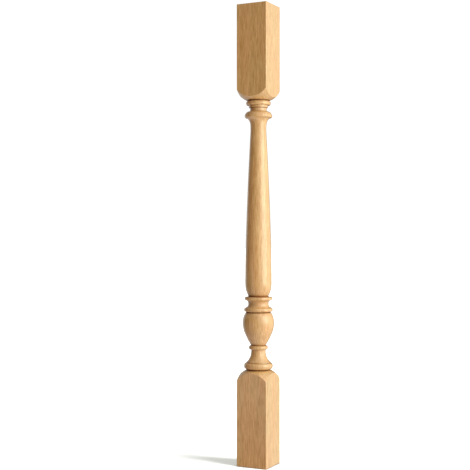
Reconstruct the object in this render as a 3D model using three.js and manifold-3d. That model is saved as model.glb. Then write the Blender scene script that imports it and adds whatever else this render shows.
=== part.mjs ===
// A turned wooden baluster: one square blank of timber, turned round on a lathe between two square end
// blocks. Millimetres, +Z up along the lathe axis, origin at the centre of the underside, block faces
// square to X and Y.

import * as THREE from 'three';
import { mergeVertices } from 'three/addons/utils/BufferGeometryUtils.js';
import Module from 'manifold-3d';

// The blank
const HEIGHT = 900;
const SECTION = 63.5;
const ARRIS = 0.8; // radius that takes the sharpness off the blank's long edges
const END_CHAMFER = 0.5; // and the small chamfer round its sawn ends

// The end blocks: each ends in a shoulder turned to an arc, whose centre stands a little off the axis
const LOWER_BLOCK = 186.5; // from the end of the post to the rim of the shoulder
const UPPER_BLOCK = 185.3;
const SHOULDER_RADIUS = 45;
const SHOULDER_OFFSET = 5;
const RIM_RADIUS = 24;

// The mouldings, named from the lower block up. A groove or fillet is a short cylinder, a bead is half
// an ellipse that stands out from its root radius, and a sweep is a Bezier curve through control points
// of [radius, height above the foot of the sweep].
const FOOT_GROOVE = { radius: 22.6, height: 1.9 };
const FOOT_TORUS = { root: 24, radius: 28.5, height: 12 };
const FOOT_FILLET = { radius: 23.2, height: 2 };
const FOOT_SWEEP = [[23.2, 0], [15.2, 6.6], [14.3, 20.6]];
const FOOT_NECK = { radius: 14.3, height: 3 };
const VASE_BEAD = { root: 14.6, radius: 18.9, height: 8.4 };
const VASE_GROOVE = { radius: 14.5, height: 1.2 };
const VASE_BELLY = [[15.2, 0], [26, 19], [30.95, 29], [30.95, 43.4]];
const VASE_SHOULDER = [[30.95, 0], [30.95, 8], [28.3, 15.5], [25, 19.7]];
const WAIST_GROOVE = { radius: 23.6, height: 1.5 };
const WAIST_LOWER_RING = { root: 24.6, radius: 28.2, height: 8.2 };
const WAIST_LOWER_SWEEP = [[24.6, 0], [20.2, 2.1], [20, 7.8]];
const WAIST_UPPER_SWEEP = [[20, 0], [20.1, 4.8], [24.2, 6.8]];
const WAIST_UPPER_RING = { root: 25, radius: 27.2, height: 6.3 };
const SHAFT_GROOVE = { radius: 19.9, height: 2.9 };
const SHAFT_FOOT = [[20.3, 0], [23.8, 6.5], [26.1, 14.8], [26.1, 24.8]];
const SHAFT_FULL_RADIUS = 26.1;
const SHAFT_LOWER_SWELL = 25.3; // radii of the two control points that give the taper its swell
const SHAFT_UPPER_SWELL = 20.8;
const SHAFT_NECK_RADIUS = 15.5;
const COLLAR_SWEEP = [[15.5, 0], [15.4, 14], [16.6, 21.5], [24.3, 24.2]];
const COLLAR_NOSE = { root: 24.3, radius: 27, height: 3.2 };
const COLLAR_OVOLO = { root: 16.8, radius: 27, height: 9.8 };
const NECK = { radius: 16.2, height: 7.2 };
const NECK_FILLET = { radius: 18.6, height: 4.3 };
const TOP_BEAD = { root: 21, radius: 24.3, height: 8.4 };
const TOP_GROOVE = { radius: 20.4, height: 2 };

// How finely the round stretches are faceted
const LATHE_SEGMENTS = 32; // a multiple of 8, so that facets meet on the faces' middles and corners
const SHOULDER_STEPS = 6;
const BEAD_STEPS = 6;
const QUARTER_STEPS = 4;
const SWEEP_STEPS = 6;
const SHAFT_STEPS = 8;
const ARRIS_STEPS = 2;

const QUARTER_TURN = Math.PI / 2;
const WOOD = { color: 0xd8ab70, roughness: 0.42, metalness: 0 };

// Outline of the turning, point by point from the underside up, as radius and height on the axis.
class TurnedOutline {
  constructor() {
    this.points = [];
    this.z = 0;
  }

  corner(radius) {
    this.points.push(new THREE.Vector2(radius, this.z));
  }

  follow(curve, steps, height) {
    this.points.push(...curve.getPoints(steps));
    this.z += height;
  }

  // A groove, fillet or neck: straight up at one radius.
  cylinder({ radius, height }) {
    this.corner(radius);
    this.z += height;
    this.corner(radius);
  }

  // A half-round moulding.
  bead({ root, radius, height }) {
    const half = height / 2;
    const ellipse = [root, this.z + half, radius - root, half];
    this.follow(new THREE.EllipseCurve(...ellipse, -QUARTER_TURN, QUARTER_TURN), BEAD_STEPS, height);
  }

  // A quarter ellipse that curls out and up to its full radius.
  nose({ root, radius, height }) {
    const curve = new THREE.EllipseCurve(root, this.z + height, radius - root, height, -QUARTER_TURN, 0);
    this.follow(curve, QUARTER_STEPS, height);
  }

  // A quarter ellipse that curls up and in from its full radius.
  ovolo({ root, radius, height }) {
    const curve = new THREE.EllipseCurve(root, this.z, radius - root, height, 0, QUARTER_TURN);
    this.follow(curve, QUARTER_STEPS, height);
  }

  sweep(controls, steps = SWEEP_STEPS) {
    const points = controls.map(([radius, rise]) => new THREE.Vector2(radius, this.z + rise));
    const BezierCurve = points.length === 3 ? THREE.QuadraticBezierCurve : THREE.CubicBezierCurve;
    const height = points.at(-1).y - this.z;
    this.follow(new BezierCurve(...points), steps, height);
  }
}

// The shoulder of an end block as an arc between the rim and a point outside the blank's corners. It
// runs up to the rim on the lower block and up from the rim, as a mirror image, on the upper one.
function shoulderArc(rimHeight, onLowerBlock) {
  const clearRadius = SECTION / Math.SQRT2 + ARRIS;
  const rimAngle = Math.acos((RIM_RADIUS - SHOULDER_OFFSET) / SHOULDER_RADIUS);
  const clearAngle = Math.acos((clearRadius - SHOULDER_OFFSET) / SHOULDER_RADIUS);
  const rise = SHOULDER_RADIUS * Math.sin(rimAngle);
  const centre = onLowerBlock ? rimHeight - rise : rimHeight + rise;
  const from = onLowerBlock ? clearAngle : -rimAngle;
  const to = onLowerBlock ? rimAngle : -clearAngle;
  return new THREE.EllipseCurve(SHOULDER_OFFSET, centre, SHOULDER_RADIUS, SHOULDER_RADIUS, from, to);
}

// The whole lathe form. It runs past both ends of the blank, so that only the turning shapes the post.
function turnedForm() {
  const outline = new TurnedOutline();
  const upperRim = HEIGHT - UPPER_BLOCK;
  const lowerShoulder = shoulderArc(LOWER_BLOCK, true).getPoints(SHOULDER_STEPS);
  const upperShoulder = shoulderArc(upperRim, false).getPoints(SHOULDER_STEPS);
  const clearRadius = lowerShoulder[0].x;
  const overrun = ARRIS;

  outline.z = -overrun;
  outline.corner(0);
  outline.corner(clearRadius);
  outline.points.push(...lowerShoulder);
  outline.z = LOWER_BLOCK;

  outline.cylinder(FOOT_GROOVE);
  outline.bead(FOOT_TORUS);
  outline.cylinder(FOOT_FILLET);
  outline.sweep(FOOT_SWEEP);
  outline.cylinder(FOOT_NECK);
  outline.bead(VASE_BEAD);
  outline.cylinder(VASE_GROOVE);
  outline.sweep(VASE_BELLY);
  outline.sweep(VASE_SHOULDER);
  outline.cylinder(WAIST_GROOVE);
  outline.bead(WAIST_LOWER_RING);
  outline.sweep(WAIST_LOWER_SWEEP);
  outline.sweep(WAIST_UPPER_SWEEP);
  outline.bead(WAIST_UPPER_RING);
  outline.cylinder(SHAFT_GROOVE);
  outline.sweep(SHAFT_FOOT);

  // The tapered shaft takes the length that the mouldings above and below it leave
  const sweepHeight = COLLAR_SWEEP.at(-1)[1];
  const cappings = [COLLAR_NOSE, COLLAR_OVOLO, NECK, NECK_FILLET, TOP_BEAD, TOP_GROOVE];
  const cappingHeight = cappings.reduce((sum, moulding) => sum + moulding.height, sweepHeight);
  const shaftHeight = upperRim - cappingHeight - outline.z;
  outline.sweep([
    [SHAFT_FULL_RADIUS, 0],
    [SHAFT_LOWER_SWELL, shaftHeight / 3],
    [SHAFT_UPPER_SWELL, shaftHeight * 2 / 3],
    [SHAFT_NECK_RADIUS, shaftHeight],
  ], SHAFT_STEPS);

  outline.sweep(COLLAR_SWEEP);
  outline.nose(COLLAR_NOSE);
  outline.ovolo(COLLAR_OVOLO);
  outline.cylinder(NECK);
  outline.cylinder(NECK_FILLET);
  outline.bead(TOP_BEAD);
  outline.cylinder(TOP_GROOVE);

  outline.points.push(...upperShoulder);
  outline.z = HEIGHT + overrun;
  outline.corner(clearRadius);
  outline.corner(0);

  const lathe = new THREE.LatheGeometry(outline.points, LATHE_SEGMENTS);
  lathe.rotateX(QUARTER_TURN);
  return lathe;
}

// The square blank, with its edges eased.
function squareBlank() {
  const half = SECTION / 2;
  const flat = half - ARRIS;
  const square = new THREE.Shape();
  square.moveTo(half, -flat);
  square.absarc(flat, flat, ARRIS, 0, QUARTER_TURN);
  square.absarc(-flat, flat, ARRIS, QUARTER_TURN, 2 * QUARTER_TURN);
  square.absarc(-flat, -flat, ARRIS, 2 * QUARTER_TURN, 3 * QUARTER_TURN);
  square.absarc(flat, -flat, ARRIS, 3 * QUARTER_TURN, 4 * QUARTER_TURN);
  const blank = new THREE.ExtrudeGeometry(square, {
    depth: HEIGHT - 2 * END_CHAMFER,
    curveSegments: ARRIS_STEPS,
    bevelThickness: END_CHAMFER,
    bevelSize: END_CHAMFER,
    bevelOffset: -END_CHAMFER,
    bevelSegments: 1,
  });
  blank.translate(0, 0, END_CHAMFER);
  return blank;
}

// A closed geometry as a solid that can be cut, without the triangles that close up on the axis.
function solidFrom(wasm, geometry) {
  geometry.deleteAttribute('normal');
  geometry.deleteAttribute('uv');
  const merged = mergeVertices(geometry);
  const corners = merged.index.array;
  const triVerts = [];
  for (let i = 0; i < corners.length; i += 3) {
    const [a, b, c] = corners.subarray(i, i + 3);
    if (a !== b && b !== c && c !== a) triVerts.push(a, b, c);
  }
  return new wasm.Manifold(new wasm.Mesh({
    numProp: 3,
    vertProperties: new Float32Array(merged.attributes.position.array),
    triVerts: new Uint32Array(triVerts),
  }));
}

function geometryFrom(solid) {
  const mesh = solid.getMesh();
  const geometry = new THREE.BufferGeometry();
  geometry.setAttribute('position', new THREE.BufferAttribute(mesh.vertProperties, 3));
  geometry.setIndex(new THREE.BufferAttribute(mesh.triVerts, 1));
  geometry.computeVertexNormals();
  return geometry;
}

const wasm = await Module();
wasm.setup();

const turned = solidFrom(wasm, squareBlank()).intersect(solidFrom(wasm, turnedForm()));
const baluster = new THREE.Mesh(geometryFrom(turned), new THREE.MeshStandardMaterial(WOOD));
baluster.name = 'baluster';

const group = new THREE.Group();
group.add(baluster);

export default group;
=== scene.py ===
"""The looks of a turned wooden baluster: one fine mesh of varnished hardwood in place of its faceted solid.

The mesh is made as the post is: a square blank with eased edges, turned between its two end blocks. The
sizes of the blank, the mouldings and the mesh are in millimetres, and those of the scene and of the grain
are in metres.
"""

import math

import bmesh
import bpy
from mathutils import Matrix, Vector


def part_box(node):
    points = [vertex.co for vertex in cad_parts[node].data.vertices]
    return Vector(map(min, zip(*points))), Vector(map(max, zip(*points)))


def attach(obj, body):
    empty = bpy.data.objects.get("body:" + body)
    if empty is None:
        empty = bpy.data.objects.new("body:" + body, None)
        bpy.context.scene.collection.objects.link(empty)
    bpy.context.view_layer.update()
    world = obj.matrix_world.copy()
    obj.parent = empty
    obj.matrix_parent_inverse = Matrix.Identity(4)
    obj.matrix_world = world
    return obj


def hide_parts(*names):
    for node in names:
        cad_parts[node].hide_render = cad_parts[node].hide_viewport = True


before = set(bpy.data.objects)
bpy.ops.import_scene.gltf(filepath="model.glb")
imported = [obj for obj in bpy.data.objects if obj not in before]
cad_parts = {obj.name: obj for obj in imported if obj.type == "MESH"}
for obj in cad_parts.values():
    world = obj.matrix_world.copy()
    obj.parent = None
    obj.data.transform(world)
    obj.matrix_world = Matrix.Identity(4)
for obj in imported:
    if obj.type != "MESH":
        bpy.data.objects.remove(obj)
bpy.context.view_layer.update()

NODE = "baluster"
MM = 0.001

node_low, node_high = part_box(NODE)

# The blank
HEIGHT = (node_high.z - node_low.z) / MM
HALF = (node_high.x - node_low.x) / 2 / MM
CLEAR_RADIUS = math.hypot(HALF, HALF)  # out here the turning no longer touches the blank
ARRIS = 0.8  # radius that takes the sharpness off the long edges
END_EASING = 0.5  # and off the edges of the sawn ends
SUPPORT = 1.2  # the flats keep a line of points this far inside their edges, so that they shade as flats

# The end blocks: each ends in a shoulder turned to an arc, whose centre stands a little off the axis
LOWER_BLOCK = 186.5  # from the end of the post to the rim of the shoulder
UPPER_BLOCK = 185.3
SHOULDER_RADIUS = 45.0
SHOULDER_OFFSET = 5.0
RIM_RADIUS = 24.0

# The mouldings, named from the lower block up: a groove, fillet or neck is a short cylinder, a bead is half
# an ellipse that stands out from its root radius, and a sweep is a Bezier curve through control points of
# (radius, height above its foot). Its painted shade is how dark the shadow painted into a groove is.
FOOT_GROOVE = {"radius": 22.6, "height": 1.9, "painted_shade": 0.9}
FOOT_TORUS = {"root": 24.0, "radius": 28.5, "height": 12.0}
FOOT_FILLET = {"radius": 23.2, "height": 2.0, "painted_shade": 0.3}
FOOT_SWEEP = [(23.2, 0.0), (15.2, 6.6), (14.3, 20.6)]
FOOT_NECK = {"radius": 14.3, "height": 3.0}
VASE_BEAD = {"root": 14.6, "radius": 18.9, "height": 8.4}
VASE_GROOVE = {"radius": 14.5, "height": 1.2, "painted_shade": 0.75}
VASE_BELLY = [(15.2, 0.0), (26.0, 19.0), (30.95, 29.0), (30.95, 43.4)]
VASE_SHOULDER = [(30.95, 0.0), (30.95, 8.0), (28.3, 15.5), (25.0, 19.7)]
WAIST_GROOVE = {"radius": 23.6, "height": 1.5, "painted_shade": 1.0}
WAIST_LOWER_RING = {"root": 24.6, "radius": 28.2, "height": 8.2}
WAIST_LOWER_SWEEP = [(24.6, 0.0), (20.2, 2.1), (20.0, 7.8)]
WAIST_UPPER_SWEEP = [(20.0, 0.0), (20.1, 4.8), (24.2, 6.8)]
WAIST_UPPER_RING = {"root": 25.0, "radius": 27.2, "height": 6.3}
SHAFT_GROOVE = {"radius": 19.9, "height": 2.9, "painted_shade": 0.9}
SHAFT_FOOT = [(20.3, 0.0), (23.8, 6.5), (26.1, 14.8), (26.1, 24.8)]
SHAFT_RADII = (26.1, 25.3, 20.8, 15.5)  # the ends of the taper, with the two control points between them
COLLAR_SWEEP = [(15.5, 0.0), (15.4, 14.0), (16.6, 21.5), (24.3, 24.2)]
COLLAR_NOSE = {"root": 24.3, "radius": 27.0, "height": 3.2}
COLLAR_OVOLO = {"root": 16.8, "radius": 27.0, "height": 9.8}
NECK = {"radius": 16.2, "height": 5.5}
NECK_TOP = {"radius": 16.2, "height": 1.7}  # a stretch of its own, because it ends in a corner painted dark as the shadow of the fillet above
NECK_FILLET = {"radius": 18.6, "height": 4.3}
TOP_BEAD = {"root": 21.0, "radius": 24.3, "height": 8.4}
TOP_GROOVE = {"radius": 20.4, "height": 2.0, "painted_shade": 0.8}

# The painted shade: how far it fades out above and below a groove, and outwards on the ledges beside it;
# the painted shadow close under the neck's fillet; and the painted contact shade round the foot of the post
SHADE_FADE = 0.7
LEDGE_SHADE_FADE = 4.0
FILLET_SHADOW = {"depth": 0.6, "painted_shade": 1.0}
FOOT_CONTACT_SHADE = {"low": 0.6, "high": 0.9, "painted_shade": 0.8}

# How finely the mesh follows the round stretches
ARC_STEPS = 12  # round the turning, from the edge of a flat to the diagonal of the blank
EDGE_STEPS = 3  # round the eased edge of a flat, no further than the diagonal
END_STEPS = 3  # round the edge of an end
BLOCK_STEPS = 8  # along a block
ARCH_STEPS = 22  # up a shoulder, as far as the top of the arch that it leaves on each face
DOME_STEPS = 10  # and from there to its rim
BEAD_STEPS = 14
SWEEP_STEPS = 16
SHAFT_STEPS = 48
SMOOTH_ANGLE = math.radians(40)  # edges that turn less than this are shaded smooth
SAME_POINT = 0.002  # points closer together than this are one
SLIVER = 0.0001  # and faces thinner than this are none

# The corners of the mouldings that sandpaper has taken off: how sharp they were, how far from the corner it
# reached, and the greatest share that it took of the stretch beside it
SHARP_TURN = math.radians(24)
CORNER_CUT = 0.35
CORNER_SHARE = 0.4
CORNER_STEPS = 2

# The edges that hands and sandpaper wear pale: fully where the surface turns outwards at this radius, and
# not at all from twice that radius on
WORN_RADIUS = 1.0

# The flat map that textures are laid on, the bare gap between its parts, and the corner of the post where
# it is cut open, which is the one furthest from the camera
MAP_NAME = "OFBake"
MAP_GAP = 6.0
BACK_CORNER = math.radians(135)

# The photograph's view: from the front, turned towards the corner between the -Y and +X faces
CAMERA_AZIMUTH = 25.7
CAMERA_DISTANCE = 1.9915
CAMERA_HEIGHT = 0.4506
CAMERA_TURN = 1.319  # the post stands right of the middle of the picture by this angle
CAMERA_LENS = 77.74  # in millimetres, as the sensor is
SENSOR = 36.0

# The light of the room is a sum of lobes, each brightest towards its middle and fading by a power of the
# cosine of the angle from it: a broad window side, a ceiling that leans towards it, a pale floor, a card on
# either side behind the post, and a little light from the front
WINDOW = {"azimuth": 80, "elevation": 0, "power": 2, "light": (1.31, 1.26, 1.34)}
CEILING = {"azimuth": 70, "elevation": 68, "power": 2, "light": (1.21, 1.26, 1.39)}
PALE_FLOOR = {"azimuth": 0, "elevation": -90, "power": 2, "light": (1.15, 1.18, 1.24)}
RIGHT_CARD = {"azimuth": 140, "elevation": 0, "power": 6, "light": (0.96, 1.13, 1.08)}
LEFT_CARD = {"azimuth": 238, "elevation": 0, "power": 10, "light": (1.06, 1.09, 1.06)}
FRONT = {"azimuth": 32, "elevation": 0, "power": 8, "light": (0.1, 0.08, 0.08)}
ROOM = [WINDOW, CEILING, PALE_FLOOR, RIGHT_CARD, LEFT_CARD, FRONT]
BACKDROP_LIGHT = 1.05

# The lamps: the key is a panel that draws the long highlight, the fill is one that lightens the lower
# block, and the floor has a lamp of its own that shapes the shadow
KEY = {"azimuth": 82, "distance": 0.9, "height": 0.6, "size": 0.75, "light": (2.4, 3.08, 2.65)}
FILL = {"azimuth": -25, "distance": 1.0, "height": 0.12, "size": 0.5, "light": (0.95, 0.8, 0.82)}
FLOOR_LAMP = {"azimuth": 88.7, "elevation": 35, "width": 34, "strength": 27.0}

# The floor, just clear of the underside, with a glow that leaves only the deepest of the shadow
FLOOR_SIZE = 60.0
FLOOR_DROP = 0.0002
FLOOR_COLOUR = (0.2, 0.203, 0.2, 1.0)
FLOOR_GLOW = 0.52
GLOW_COLOUR = (1.0, 1.0, 0.91, 1.0)
CONTACT_REACH = 0.01  # how far from the post its closeness shades the floor

# The wood has year rings about a pith that lies well outside the blank, to the left of the photograph's
# view, so that they run through the post as upright sheets, wandering a little. A pattern's grain is the
# size of its marks through the rings, along a ring and along the post.
PITH_AZIMUTH = CAMERA_AZIMUTH - 90
PITH_DISTANCE = 0.17
WANDER_REACH = 0.0016
WANDER = {"grain": (0.05, 0.05, 0.16), "detail": 1.0}
RINGS = {"grain": (0.0052, 0.09, 0.4), "detail": 1.0}
STREAKS = {"grain": (0.0011, 0.005, 0.024), "detail": 2.0}
FIBRES = {"grain": (0.0005, 0.001, 0.009), "detail": 3.0, "roughness": 0.6}
DRIFT = {"grain": (0.018, 0.03, 0.12), "detail": 1.0}
YEARS = {"grain": (0.0016, 0.06, 0.3), "detail": 1.0}
NOISE_MIDDLE = 0.5  # each of these patterns lies about this value

# The wood's dark marks lie in the cells of a pattern: how far a mark reaches in its cell, the share of the
# cells that hold one, and how dark it is
FLECKS = {"grain": (0.0042, 0.0042, 0.03), "reach": 0.3, "share": 0.6, "depth": 0.5}
SPECKS = {"grain": (0.0012, 0.0012, 0.009), "reach": 0.35, "share": 0.7, "depth": 0.5}
PORES = {"grain": (0.00055, 0.00055, 0.006), "reach": 0.3, "share": 0.6, "depth": 0.65}
MARK_CORE = 0.4  # the share of its reach over which a mark is at its darkest

# The wood's colours, and the tints that they are multiplied by
LIGHT_WOOD = (0.762, 0.44, 0.173, 1.0)
DARK_WOOD = (0.478, 0.232, 0.051, 1.0)
WORN_WOOD = (0.82, 0.54, 0.25, 1.0)
ROSY_TINT = (1.04, 0.97, 0.96, 1.0)
MARK_TINT = (0.74, 0.63, 0.5, 1.0)
END_GRAIN_TINT = (0.84, 0.79, 0.72, 1.0)
LATE_WOOD_TINT = (0.66, 0.56, 0.46, 1.0)
# the tint of the shade painted into the grooves, under the neck's fillet and round the foot
PAINTED_SHADE_TINT = (0.34, 0.175, 0.025, 1.0)

# What each pattern does to the colour: the shares of three of them in the tone of the wood, the distances
# from the pith over which that tone grows quieter, and the values between which a change comes in
RING_SHARE = 0.08
STREAK_SHARE = 0.65
FIBRE_SHARE = 0.27
QUIET_RANGE = (0.175, 0.2)
QUIET_CONTRAST = 0.6
TONE_RANGE = (0.3, 0.7)
ROSY_RANGE = (0.4, 0.65)
LATE_WOOD_RANGE = (0.48, 0.62)
END_GRAIN_RANGE = (0.88, 1.0)  # of how nearly level a surface lies
WEAR_RANGE = (0.4, 0.6)
WEAR_SHARES = (0.1, 0.6)  # the least and the most of the wear that shows, from streak to streak

# The wood's surface: its roughness, what fibres and end grain add to that, the varnish, and the relief
ROUGHNESS = 0.36
FIBRE_ROUGHNESS = 0.14
END_ROUGHNESS = 0.12
VARNISH_ROUGHNESS = 0.24
BUMP_DEPTH = 0.00012
BUMP_STRENGTH = 0.3
MARK_RELIEF = 0.5  # how deep the dark marks lie, beside the height of the fibres


def towards(azimuth, elevation):
    """The direction from the post to something at this azimuth and elevation, in degrees."""
    turn, rise = math.radians(azimuth), math.radians(elevation)
    return Vector((math.sin(turn) * math.cos(rise), -math.cos(turn) * math.cos(rise), math.sin(rise)))


def bezier(controls, t):
    """The point at t on the Bezier curve through these control points."""
    points = [tuple(p) for p in controls]
    while len(points) > 1:
        points = [tuple(a + (b - a) * t for a, b in zip(p, q)) for p, q in zip(points, points[1:])]
    return points[0]


class TurnedOutline:
    """The outline of the turning, from one height up, as rows of (radius, height)."""

    def __init__(self, z):
        self.rows = []
        self.painted_shades = []
        self.z = z

    def mark(self, radius, low, high, painted_shade):
        """Notes how dark shade is painted on the wood between two heights, out to this radius."""
        self.painted_shades.append((radius, low, high, painted_shade))

    def painted_shadow_under(self, radius, depth, painted_shade):
        """A line of painted shadow close under the moulding that comes next."""
        self.mark(radius, self.z - depth, self.z - depth / 2, painted_shade)

    def cylinder(self, radius, height, painted_shade=0.0):
        self.rows += [(radius, self.z), (radius, self.z + height)]
        self.mark(radius, self.z, self.z + height, painted_shade)
        self.z += height

    def ellipse(self, root, radius, middle, half, start, end, steps):
        for k in range(steps + 1):
            angle = start + (end - start) * k / steps
            self.rows.append((root + (radius - root) * math.cos(angle), middle + half * math.sin(angle)))

    def bead(self, root, radius, height):
        """A half-round moulding."""
        half = height / 2
        self.ellipse(root, radius, self.z + half, half, -math.pi / 2, math.pi / 2, BEAD_STEPS)
        self.z += height

    def nose(self, root, radius, height):
        """A quarter ellipse that curls out and up to its full radius."""
        self.ellipse(root, radius, self.z + height, height, -math.pi / 2, 0, BEAD_STEPS // 2)
        self.z += height

    def ovolo(self, root, radius, height):
        """A quarter ellipse that curls up and in from its full radius."""
        self.ellipse(root, radius, self.z, height, 0, math.pi / 2, BEAD_STEPS // 2)
        self.z += height

    def sweep(self, controls, steps=SWEEP_STEPS):
        for k in range(steps + 1):
            radius, rise = bezier(controls, k / steps)
            self.rows.append((radius, self.z + rise))
        self.z += controls[-1][1]


def turned_outline():
    """The mouldings between the two shoulders."""
    outline = TurnedOutline(LOWER_BLOCK)
    # painted contact shade round the foot of the post
    outline.mark(CLEAR_RADIUS, **FOOT_CONTACT_SHADE)
    outline.cylinder(**FOOT_GROOVE)
    outline.bead(**FOOT_TORUS)
    outline.cylinder(**FOOT_FILLET)
    outline.sweep(FOOT_SWEEP)
    outline.cylinder(**FOOT_NECK)
    outline.bead(**VASE_BEAD)
    outline.cylinder(**VASE_GROOVE)
    outline.sweep(VASE_BELLY)
    outline.sweep(VASE_SHOULDER)
    outline.cylinder(**WAIST_GROOVE)
    outline.bead(**WAIST_LOWER_RING)
    outline.sweep(WAIST_LOWER_SWEEP)
    outline.sweep(WAIST_UPPER_SWEEP)
    outline.bead(**WAIST_UPPER_RING)
    outline.cylinder(**SHAFT_GROOVE)
    outline.sweep(SHAFT_FOOT)

    # The tapered shaft takes the length that the mouldings above and below it leave
    cappings = [COLLAR_NOSE, COLLAR_OVOLO, NECK, NECK_TOP, NECK_FILLET, TOP_BEAD, TOP_GROOVE]
    above = COLLAR_SWEEP[-1][1] + sum(moulding["height"] for moulding in cappings)
    length = HEIGHT - UPPER_BLOCK - above - outline.z
    last = len(SHAFT_RADII) - 1
    outline.sweep([(radius, length * k / last) for k, radius in enumerate(SHAFT_RADII)], SHAFT_STEPS)

    outline.sweep(COLLAR_SWEEP)
    outline.nose(**COLLAR_NOSE)
    outline.ovolo(**COLLAR_OVOLO)
    outline.cylinder(**NECK)
    outline.cylinder(**NECK_TOP)
    # painted shadow close under the neck's fillet
    outline.painted_shadow_under(NECK_TOP["radius"], **FILLET_SHADOW)
    outline.cylinder(**NECK_FILLET)
    outline.bead(**TOP_BEAD)
    outline.cylinder(**TOP_GROOVE)
    return outline


def softened(rows):
    """The rows with repeated points left out and each sharp corner taken off by a small curve."""
    points = [Vector(rows[0])]
    for row in rows[1:]:
        if (Vector(row) - points[-1]).length > SAME_POINT:
            points.append(Vector(row))
    made = [points[0]]
    for before, corner, after in zip(points, points[1:], points[2:]):
        incoming, outgoing = corner - before, after - corner
        if abs(incoming.angle(outgoing)) < SHARP_TURN:
            made.append(corner)
            continue
        start = corner - incoming.normalized() * min(CORNER_CUT, incoming.length * CORNER_SHARE)
        end = corner + outgoing.normalized() * min(CORNER_CUT, outgoing.length * CORNER_SHARE)
        for k in range(CORNER_STEPS + 1):
            made.append(Vector(bezier([start, corner, end], k / CORNER_STEPS)))
    made.append(points[-1])
    return [tuple(p) for p in made]


def shoulder_rise(radius):
    """How far the shoulder's arc stands above its own centre at this radius."""
    return math.sqrt(SHOULDER_RADIUS ** 2 - (radius - SHOULDER_OFFSET) ** 2)


def shoulder_rows():
    """The shoulder from the corners of the blank to its rim, as rows of (radius, distance from the rim).

    Beside the arch on each face the rows follow even steps of the flat's width, so that the arch is smooth.
    """
    flats = [HALF * (1 - k / ARCH_STEPS) for k in range(ARCH_STEPS + 1)]
    radii = [math.hypot(HALF, flat) for flat in flats]
    radii += [HALF + (RIM_RADIUS - HALF) * k / DOME_STEPS for k in range(1, DOME_STEPS + 1)]
    return [(r, shoulder_rise(RIM_RADIUS) - shoulder_rise(r)) for r in radii]


def block_rows(rim, end):
    """One end block from its end to its shoulder's rim, as rows of (radius, height, inset of the blank)."""
    inward = 1 if rim > end else -1
    rows = []
    for k in range(END_STEPS + 1):
        angle = math.pi / 2 * k / END_STEPS
        inset = END_EASING * (1 - math.sin(angle))
        rows.append((CLEAR_RADIUS, end + inward * END_EASING * (1 - math.cos(angle)), inset))
    shoulder = [(r, rim - inward * depth) for r, depth in shoulder_rows()]
    start, stop = end + inward * (END_EASING + SUPPORT), shoulder[0][1]
    for k in range(BLOCK_STEPS):
        rows.append((CLEAR_RADIUS, start + (stop - start) * k / BLOCK_STEPS, 0.0))
    return rows + [(r, z, 0.0) for r, z in shoulder]


def all_rows(turning):
    """Every row of the post from its underside up, as (radius, height, inset of the blank)."""
    lower = block_rows(LOWER_BLOCK, 0.0)
    upper = block_rows(HEIGHT - UPPER_BLOCK, HEIGHT)[::-1]
    rims = [lower[-1][:2], *turning.rows, upper[0][:2]]
    middle = [(r, z, 0.0) for r, z in softened(rims)]
    return lower[:-1] + middle + upper[1:]


def painted_shade_at(turning, radius, z):
    """How dark shade is painted in this row: fully within a groove, fading out beyond its edges."""
    deepest = 0.0
    for floor, low, high, painted_shade in turning.painted_shades:
        beyond = max(low - z, z - high, 0.0) / SHADE_FADE + max(radius - floor, 0.0) / LEDGE_SHADE_FADE
        deepest = max(deepest, painted_shade * (1 - beyond))
    return deepest


def eighth(radius, inset):
    """Half of one face's share of a section, from the middle of the face to the diagonal of the blank.

    The section is the circle of the turning within the square blank, with the edges between them eased.
    """
    half = HALF - inset
    easing = ARRIS - inset
    if radius <= half:
        flat, turn = 0.0, 0.0
        centre = radius - easing
    else:
        flat = min(math.sqrt((radius - easing) ** 2 - (half - easing) ** 2), half - easing)
        turn = math.atan2(flat, half - easing)
        centre = half - easing
    points = [(centre + easing, max(0.0, flat - SUPPORT))]
    for k in range(EDGE_STEPS + 1):
        angle = turn * k / EDGE_STEPS
        points.append((centre + easing * math.cos(angle), flat + easing * math.sin(angle)))
    reach = math.hypot(*points[-1])
    for k in range(1, ARC_STEPS + 1):
        angle = turn + (math.pi / 4 - turn) * k / ARC_STEPS
        points.append((reach * math.cos(angle), reach * math.sin(angle)))
    return points


def section(radius, z, inset):
    """The points round the post in one row, face by face."""
    side = eighth(radius, inset)
    face = [(x, -y) for x, y in reversed(side)] + side[:-1]
    ring = []
    for _ in range(4):
        ring += [Vector((x, y, z)) * MM for x, y in face]
        face = [(-y, x) for x, y in face]
    return ring


def skin(build):
    """The surface of the post, closed at both ends.

    Each point knows how dark shade is painted there and, as its reach, how far up the outline it lies.
    """
    painted_shade = build.verts.layers.float.new("painted_shade")
    reach = build.verts.layers.float.new("reach")
    turning = turned_outline()
    rows = all_rows(turning)
    rings = []
    length = 0.0
    for before, (radius, z, inset) in zip(rows[:1] + rows, rows):
        length += math.hypot(radius - before[0], z - before[1])
        ring = [build.verts.new(point) for point in section(radius, z, inset)]
        for vertex in ring:
            vertex[painted_shade] = painted_shade_at(turning, radius, z)
            vertex[reach] = length
        rings.append(ring)
    for lower, upper in zip(rings, rings[1:]):
        for k in range(len(lower)):
            build.faces.new((lower[k - 1], lower[k], upper[k], upper[k - 1]))
    bmesh.ops.remove_doubles(build, verts=build.verts, dist=SAME_POINT * MM)
    bmesh.ops.dissolve_degenerate(build, edges=build.edges, dist=SLIVER * MM)
    open_edges = [edge for edge in build.edges if edge.is_boundary]
    bmesh.ops.holes_fill(build, edges=open_edges)
    bmesh.ops.recalc_face_normals(build, faces=build.faces)


def mark_wear(build):
    """Notes at each point how worn it is: the sharper the surface turns outwards there, the more."""
    wear = build.verts.layers.float.new("wear")
    for edge in build.edges:
        one, other = [face.calc_center_median() for face in edge.link_faces]
        sharpness = edge.calc_face_angle_signed() * WORN_RADIUS * MM / (one - other).length
        for vertex in edge.verts:
            vertex[wear] = max(vertex[wear], min(2 * sharpness - 1, 1.0))


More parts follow.
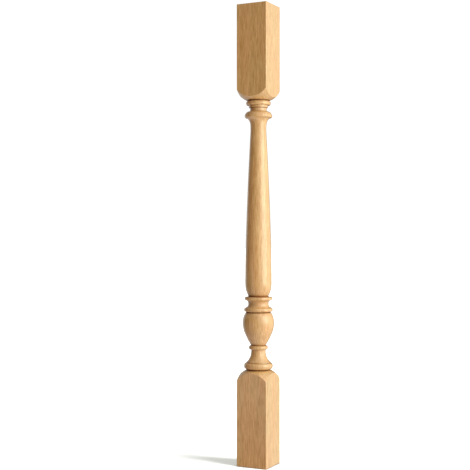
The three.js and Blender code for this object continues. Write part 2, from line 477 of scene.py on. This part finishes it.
def lay_out(build):
    """Lays the surface out on the flat map.

    The lower and the upper half of the post are unrolled side by side, with their ends above them. The ends
    are the only faces with more than four corners.
    """
    places = build.loops.layers.uv.new(MAP_NAME)
    reach = build.verts.layers.float["reach"]
    half = max(vertex[reach] for vertex in build.verts) / 2
    width = 8 * HALF  # once round the blank
    side = max(2 * width, half + 2 * HALF) + 3 * MAP_GAP
    for face in build.faces:
        middle = face.calc_center_median()
        is_end = len(face.verts) > 4
        on_upper = middle.z / MM > HEIGHT / 2 if is_end else face.verts[0][reach] > half
        turn = (math.atan2(middle.y, middle.x) - BACK_CORNER) % math.tau
        for loop in face.loops:
            x, y = loop.vert.co.xy / MM
            if is_end:
                u, v = x + HALF, half + MAP_GAP + y + HALF
            else:
                swing = math.remainder(math.atan2(y, x) - BACK_CORNER - turn, math.tau)
                u = (turn + swing) / math.tau * width
                v = loop.vert[reach] - half * on_upper
            u += (width + MAP_GAP) * on_upper
            loop[places].uv = ((u + MAP_GAP) / side, (v + MAP_GAP) / side)


def add_object(name, data):
    """A new object in the scene."""
    made = bpy.data.objects.new(name, data)
    bpy.context.scene.collection.objects.link(made)
    return made


def make_post(material):
    """The post as one closed mesh."""
    build = bmesh.new()
    skin(build)
    mark_wear(build)
    lay_out(build)
    mesh = bpy.data.meshes.new("turned_post")
    build.to_mesh(mesh)
    build.free()
    mesh.shade_smooth()
    mesh.set_sharp_from_angle(angle=SMOOTH_ANGLE)
    mesh.materials.append(material)
    return add_object("turned_post", mesh)


class Nodes:
    """Adds nodes to a tree. An input is given by name as a fixed value or as another node's output."""

    def __init__(self, tree):
        self.tree = tree

    def add(self, kind, inputs, **settings):
        node = self.tree.nodes.new("ShaderNode" + kind)
        for name, value in settings.items():
            setattr(node, name, value)
        self.fill(node, inputs)
        return node

    def fill(self, node, inputs):
        for name, value in inputs.items():
            if isinstance(value, bpy.types.NodeSocket):
                self.tree.links.new(value, node.inputs[name])
            else:
                node.inputs[name].default_value = value

    def calc(self, operation, *values):
        return self.add("Math", dict(enumerate(values)), operation=operation).outputs[0]

    def vector(self, operation, *values):
        """The outputs of a calculation with vectors: Vector, or Value where it gives a number."""
        return self.add("VectorMath", dict(enumerate(values)), operation=operation).outputs

    def point(self, name):
        """What the mesh notes at its points under this name."""
        return self.add("Attribute", {}, attribute_name=name).outputs["Fac"]

    def ramp(self, value, start, end, low=0.0, high=1.0):
        """value, eased from low at start to high at end."""
        inputs = {"Value": value, "From Min": start, "From Max": end, "To Min": low, "To Max": high}
        return self.add("MapRange", inputs, interpolation_type="SMOOTHSTEP").outputs[0]

    def mix(self, factor, a, b, blend="MIX"):
        """Two colours mixed. The node has sockets for other kinds of value too, so these go by number."""
        node = self.add("Mix", {}, data_type="RGBA", blend_type=blend)
        self.fill(node, {0: factor, 6: a, 7: b})
        return node.outputs[2]

    def tint(self, factor, colour, by):
        """colour, multiplied by another one where factor is 1."""
        return self.mix(factor, colour, by, "MULTIPLY")

    def along_grain(self, place, grain):
        """place, measured in this pattern's marks."""
        inputs = {"Vector": place, "Scale": [1 / size for size in grain]}
        return self.add("Mapping", inputs).outputs[0]

    def noise(self, place, grain, detail, roughness=0.5):
        inputs = {"Vector": self.along_grain(place, grain), "Scale": 1.0}
        inputs |= {"Detail": detail, "Roughness": roughness}
        return self.add("TexNoise", inputs).outputs["Fac"]

    def dashes(self, place, grain, reach, share, depth):
        """Short marks along the grain, one in the middle of that share of a pattern's cells."""
        cells = self.add("TexVoronoi", {"Vector": self.along_grain(place, grain), "Scale": 1.0})
        mark = self.ramp(cells.outputs["Distance"], reach, reach * MARK_CORE, 0.0, depth)
        pick = self.add("SeparateColor", {0: cells.outputs["Color"]}).outputs[0]
        return self.calc("MULTIPLY", mark, self.calc("LESS_THAN", pick, share))


def ring_space(nodes):
    """A place in the wood as its distance from the pith, its distance round the ring and its height."""
    place = nodes.add("TexCoord", {}).outputs["Object"]
    pith = towards(PITH_AZIMUTH, 0.0) * PITH_DISTANCE
    from_pith = nodes.add("Mapping", {"Vector": place, "Location": -pith}).outputs[0]
    parts = nodes.add("SeparateXYZ", {0: from_pith}).outputs
    flat = nodes.add("CombineXYZ", {"X": parts["X"], "Y": parts["Y"]}).outputs[0]
    wander = nodes.calc("SUBTRACT", nodes.noise(place, **WANDER), NOISE_MIDDLE)
    distance = nodes.calc("MULTIPLY_ADD", wander, WANDER_REACH, nodes.vector("LENGTH", flat)["Value"])
    turn = nodes.calc("ARCTAN2", parts["Y"], parts["X"])
    round_ring = nodes.calc("MULTIPLY", turn, PITH_DISTANCE)
    return nodes.add("CombineXYZ", {"X": distance, "Y": round_ring, "Z": parts["Z"]}).outputs[0]


def grain_tone(nodes, place, streaks, fibres):
    """Where the wood lies between light and dark. The grain grows quieter far from the pith."""
    tone = nodes.calc("MULTIPLY", nodes.noise(place, **RINGS), RING_SHARE)
    tone = nodes.calc("MULTIPLY_ADD", streaks, STREAK_SHARE, tone)
    tone = nodes.calc("MULTIPLY_ADD", fibres, FIBRE_SHARE, tone)
    distance = nodes.add("SeparateXYZ", {0: place}).outputs["X"]
    contrast = nodes.ramp(distance, *QUIET_RANGE, 1.0, QUIET_CONTRAST)
    tone = nodes.calc("MULTIPLY_ADD", nodes.calc("SUBTRACT", tone, NOISE_MIDDLE), contrast, NOISE_MIDDLE)
    return nodes.ramp(tone, *TONE_RANGE)


def dark_marks(nodes, place):
    """The flecks, specks and pores that lie along the grain."""
    marks = 0.0
    for kind in (FLECKS, SPECKS, PORES):
        marks = nodes.calc("MAXIMUM", marks, nodes.dashes(place, **kind))
    return marks


def end_grain_share(nodes):
    """How much of the end grain shows: all of it on a level surface, and none on a steep one."""
    normal = nodes.add("NewGeometry", {}).outputs["Normal"]
    upright = nodes.add("SeparateXYZ", {0: normal}).outputs["Z"]
    return nodes.ramp(nodes.calc("ABSOLUTE", upright), *END_GRAIN_RANGE)


def wood():
    """Light hardwood under a clear satin varnish."""
    material = bpy.data.materials.new("varnished_hardwood")
    material.use_nodes = True
    nodes = Nodes(material.node_tree)
    place = ring_space(nodes)
    streaks = nodes.noise(place, **STREAKS)
    fibres = nodes.noise(place, **FIBRES)
    marks = dark_marks(nodes, place)
    end_grain = end_grain_share(nodes)
    painted_shade = nodes.point("painted_shade")

    colour = nodes.mix(grain_tone(nodes, place, streaks, fibres), LIGHT_WOOD, DARK_WOOD)
    rosy = nodes.ramp(nodes.noise(place, **DRIFT), *ROSY_RANGE)
    colour = nodes.tint(rosy, colour, ROSY_TINT)
    colour = nodes.tint(marks, colour, MARK_TINT)
    colour = nodes.tint(end_grain, colour, END_GRAIN_TINT)
    late_wood = nodes.ramp(nodes.noise(place, **YEARS), *LATE_WOOD_RANGE)
    colour = nodes.tint(nodes.calc("MULTIPLY", end_grain, late_wood), colour, LATE_WOOD_TINT)
    wear_share = nodes.ramp(streaks, *WEAR_RANGE, *WEAR_SHARES)
    colour = nodes.mix(nodes.calc("MULTIPLY", nodes.point("wear"), wear_share), colour, WORN_WOOD)
    # painted shade in the grooves, under the neck's fillet and round the foot
    colour = nodes.tint(painted_shade, colour, PAINTED_SHADE_TINT)

    roughness = nodes.calc("MULTIPLY_ADD", fibres, FIBRE_ROUGHNESS, ROUGHNESS)
    roughness = nodes.calc("MULTIPLY_ADD", end_grain, END_ROUGHNESS, roughness)
    relief = nodes.calc("MULTIPLY_ADD", marks, -MARK_RELIEF, fibres)
    bump = nodes.add("Bump", {"Height": relief, "Strength": BUMP_STRENGTH, "Distance": BUMP_DEPTH})
    # where shade is painted the surface is also made rough and bare of varnish, so that it shows no
    # reflection there
    nodes.fill(material.node_tree.nodes["Principled BSDF"], {
        "Base Color": colour,
        "Roughness": nodes.calc("MAXIMUM", roughness, painted_shade),
        "Normal": bump.outputs[0],
        "Coat Weight": nodes.calc("SUBTRACT", 1.0, painted_shade),
        "Coat Roughness": VARNISH_ROUGHNESS,
    })
    return material


def pale_floor():
    """A pale surface with a glow of its own, both shaded where the post is close."""
    material = bpy.data.materials.new("pale_floor")
    material.use_nodes = True
    nodes = Nodes(material.node_tree)
    contact = nodes.add("AmbientOcclusion", {"Color": FLOOR_COLOUR, "Distance": CONTACT_REACH}).outputs
    lit = nodes.add("BsdfDiffuse", {"Color": contact["Color"]})
    strength = nodes.calc("MULTIPLY", contact["AO"], FLOOR_GLOW)
    glow = nodes.add("Emission", {"Color": GLOW_COLOUR, "Strength": strength})
    both = nodes.add("AddShader", {0: lit.outputs[0], 1: glow.outputs[0]})
    nodes.fill(material.node_tree.nodes["Material Output"], {"Surface": both.outputs[0]})
    return material


def make_floor():
    """The floor, which takes the post's shadow and throws no light or shadow back."""
    mesh = bpy.data.meshes.new("floor")
    side = FLOOR_SIZE / 2
    corners = [(-side, -side), (side, -side), (side, side), (-side, side)]
    mesh.from_pydata([(x, y, -FLOOR_DROP) for x, y in corners], [], [(0, 1, 2, 3)])
    mesh.materials.append(pale_floor())
    floor = add_object("floor", mesh)
    floor.visible_diffuse = False
    floor.visible_glossy = False
    floor.visible_shadow = False
    return floor


def make_room():
    """The room's lobes of light, which the camera sees as a white backdrop."""
    world = bpy.data.worlds.new("room")
    world.use_nodes = True
    nodes = Nodes(world.node_tree)
    direction = nodes.add("TexCoord", {}).outputs["Generated"]
    total = (0.0, 0.0, 0.0)
    for lobe in ROOM:
        middle = towards(lobe["azimuth"], lobe["elevation"])
        cosine = nodes.vector("DOT_PRODUCT", direction, middle)["Value"]
        fade = nodes.calc("POWER", nodes.calc("MAXIMUM", cosine, 0.0), lobe["power"])
        total = nodes.vector("MULTIPLY_ADD", fade, lobe["light"], total)["Vector"]
    light = world.node_tree.nodes["Background"]
    nodes.fill(light, {"Color": total})
    backdrop = nodes.add("Background", {"Color": (1.0, 1.0, 1.0, 1.0), "Strength": BACKDROP_LIGHT})
    seen = nodes.add("LightPath", {}).outputs["Is Camera Ray"]
    both = nodes.add("MixShader", {0: seen, 1: light.outputs[0], 2: backdrop.outputs[0]})
    nodes.fill(world.node_tree.nodes["World Output"], {"Surface": both.outputs[0]})
    bpy.context.scene.world = world


def shine_from(lamp, direction):
    """Turns a lamp so that its light comes from this direction."""
    lamp.rotation_mode = "QUATERNION"
    lamp.rotation_quaternion = direction.to_track_quat("Z", "Y")


def make_lamp(name, azimuth, elevation, width, strength):
    """A far round lamp that looks this wide, in degrees."""
    data = bpy.data.lights.new(name, "SUN")
    data.energy = strength
    data.angle = math.radians(width)
    lamp = add_object(name, data)
    shine_from(lamp, towards(azimuth, elevation))
    return lamp


def make_panel(name, azimuth, distance, height, size, light):
    """A square lamp that stands upright, facing the post, and looks this bright in red, green and blue."""
    data = bpy.data.lights.new(name, "AREA")
    data.size = size
    data.energy = math.pi * size ** 2  # the power at which it looks exactly as bright as its colour
    data.color = light
    panel = add_object(name, data)
    direction = towards(azimuth, 0.0)
    panel.location = direction * distance + Vector((0.0, 0.0, height))
    panel.visible_camera = False
    shine_from(panel, direction)


def light_only(lamp, lit):
    """Lets a lamp light one object and nothing else."""
    collection = bpy.data.collections.new(lit.name + "_only")
    collection.objects.link(lit)
    lamp.light_linking.receiver_collection = collection


def make_camera():
    """The photograph's camera, held level."""
    lens = bpy.data.cameras.new("camera")
    lens.lens = CAMERA_LENS
    lens.sensor_width = SENSOR
    camera = add_object("camera", lens)
    camera.location = towards(CAMERA_AZIMUTH, 0.0) * CAMERA_DISTANCE + Vector((0, 0, CAMERA_HEIGHT))
    camera.rotation_euler = (math.pi / 2, 0.0, math.radians(CAMERA_AZIMUTH + CAMERA_TURN))
    bpy.context.scene.camera = camera


make_camera()
make_room()
make_panel("key", **KEY)
make_panel("fill", **FILL)
light_only(make_lamp("floor_lamp", **FLOOR_LAMP), make_floor())
bpy.context.scene.view_settings.view_transform = "Standard"

post = make_post(wood())
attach(post, "root")
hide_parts(NODE)
